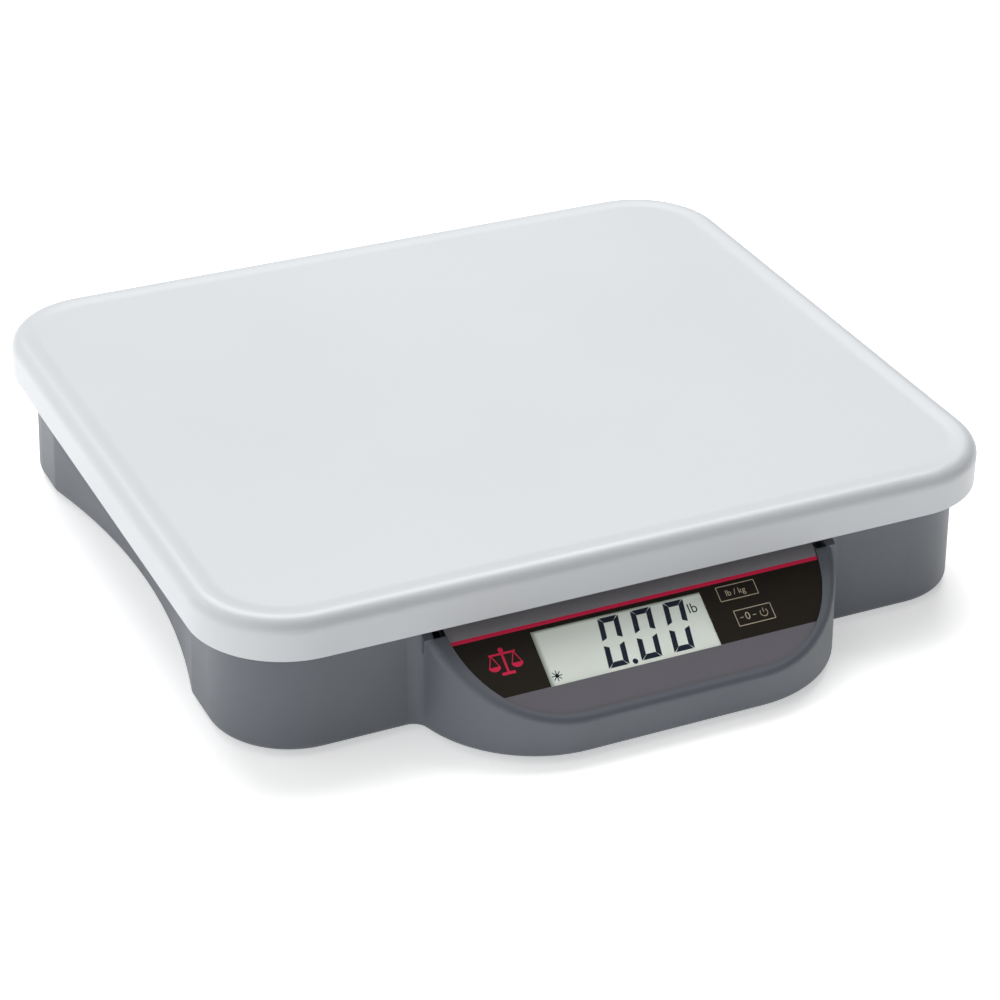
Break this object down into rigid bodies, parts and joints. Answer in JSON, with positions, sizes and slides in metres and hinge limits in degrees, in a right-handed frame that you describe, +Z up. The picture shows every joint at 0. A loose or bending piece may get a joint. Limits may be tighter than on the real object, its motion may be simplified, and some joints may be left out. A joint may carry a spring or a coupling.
{
  "type": "bench scale",
  "caption": "Low-profile electronic bench scale: lift-off weighing platform on a load cell, waisted base and a sloping front display with membrane keys.",
  "frame": {"origin": "on the bench under the middle of the whole scale's box, display pod included", "axes": "+X to the user's right, +Y from the display to the back, +Z up"},
  "size_m": [0.32, 0.31, 0.0615],
  "materials": {
    "grey_housing": "fine satin moulded ABS, cool mid grey",
    "white_cover": "smooth satin moulded ABS, off white",
    "printed_overlay": "printed polyester overlay",
    "clear_window": "clear acrylic",
    "lcd_glass": "liquid crystal glass",
    "black_plastic": "moulded black plastic",
    "white_plastic": "white diffuser plastic",
    "key_overlay": "printed polyester key face",
    "board_green": "solder-masked glass-fibre board",
    "zinc_steel": "bright zinc-plated steel",
    "cell_aluminium": "machined, anodised aluminium",
    "cast_aluminium": "as-cast aluminium",
    "battery_jacket": null,
    "tinned_spring": "nickel-plated spring steel",
    "foot_rubber": "black moulded rubber",
    "pad_rubber": "soft black rubber",
    "foam": "closed-cell foam",
    "lead_jacket": "PVC lead jacket",
    "gauge_foil": "polyimide strain gauge foil"
  },
  "bodies": {
    "base": {"backlight_plate": "white_plastic", "base_housing": "grey_housing", "base_plate": "zinc_steel", "base_plate_screws": "zinc_steel", "battery_lead": "lead_jacket", "battery_springs": "tinned_spring", "battery_terminals": "tinned_spring", "bezel_screws": "zinc_steel", "board_capacitors": "black_plastic", "board_plugs": "white_plastic", "board_screws": "zinc_steel", "c_cell_1": "battery_jacket", "c_cell_2": "battery_jacket", "c_cell_3": "battery_jacket", "c_cell_4": "battery_jacket", "display_gasket": "foam", "display_window": "clear_window", "door_pin": "zinc_steel", "fixed_end_screws": "zinc_steel", "inlet_lead": "lead_jacket", "inlet_pin": "tinned_spring", "key_switches": "black_plastic", "lcd_carrier": "black_plastic", "lcd_front_glass": "lcd_glass", "lcd_pins": "tinned_spring", "lcd_rear_glass": "lcd_glass", "load_cell": "cell_aluminium", "load_cell_cable": "lead_jacket", "lower_spacer": "zinc_steel", "main_board": "board_green", "overload_stops": "zinc_steel", "panel_bezel": "grey_housing", "panel_film": "printed_overlay", "power_inlet": "black_plastic", "row_contacts": "tinned_spring", "rubber_foot_1": "foot_rubber", "rubber_foot_2": "foot_rubber", "rubber_foot_3": "foot_rubber", "rubber_foot_4": "foot_rubber", "scale_chips": "black_plastic", "stop_locknuts": "zinc_steel", "strain_gauges": "gauge_foil"},
    "load_platform": {"load_plate": "cast_aluminium", "upper_spacer": "zinc_steel", "live_end_screws": "zinc_steel", "platform_pad_1": "pad_rubber", "platform_pad_2": "pad_rubber", "platform_pad_3": "pad_rubber", "platform_pad_4": "pad_rubber"},
    "cover": {"platform_cover": "white_cover"},
    "units_key": {"units_key_pad": "key_overlay", "units_switch_button": "black_plastic"},
    "zero_key": {"zero_key_pad": "key_overlay", "zero_switch_button": "black_plastic"},
    "battery_door": {"battery_door": "grey_housing"}
  },
  "joints": [
    {"name": "platform_load", "type": "slide", "parent": "base", "child": "load_platform", "axis": [0, 0, 1], "range_m": [-0.0007, 0], "stiffness_N_per_m": 20000, "springref_m": 0.001, "deforming": ["load_cell", "strain_gauges"]},
    {"name": "cover_lift", "type": "slide", "parent": "load_platform", "child": "cover", "axis": [0, 0, 1], "range_m": [0, 0.06]},
    {"name": "units_key_press", "type": "slide", "parent": "base", "child": "units_key", "axis": [0, 0.5424, -0.8401], "range_m": [0, 0.0004], "stiffness_N_per_m": 4000, "springref_m": -0.0002},
    {"name": "zero_key_press", "type": "slide", "parent": "base", "child": "zero_key", "axis": [0, 0.5424, -0.8401], "range_m": [0, 0.0004], "stiffness_N_per_m": 4000, "springref_m": -0.0002},
    {"name": "battery_door_hinge", "type": "hinge", "parent": "base", "child": "battery_door", "pos_m": [0, 0.10725, 0.0041], "axis": [1, 0, 0], "range_deg": [0, 80]}
  ]
}
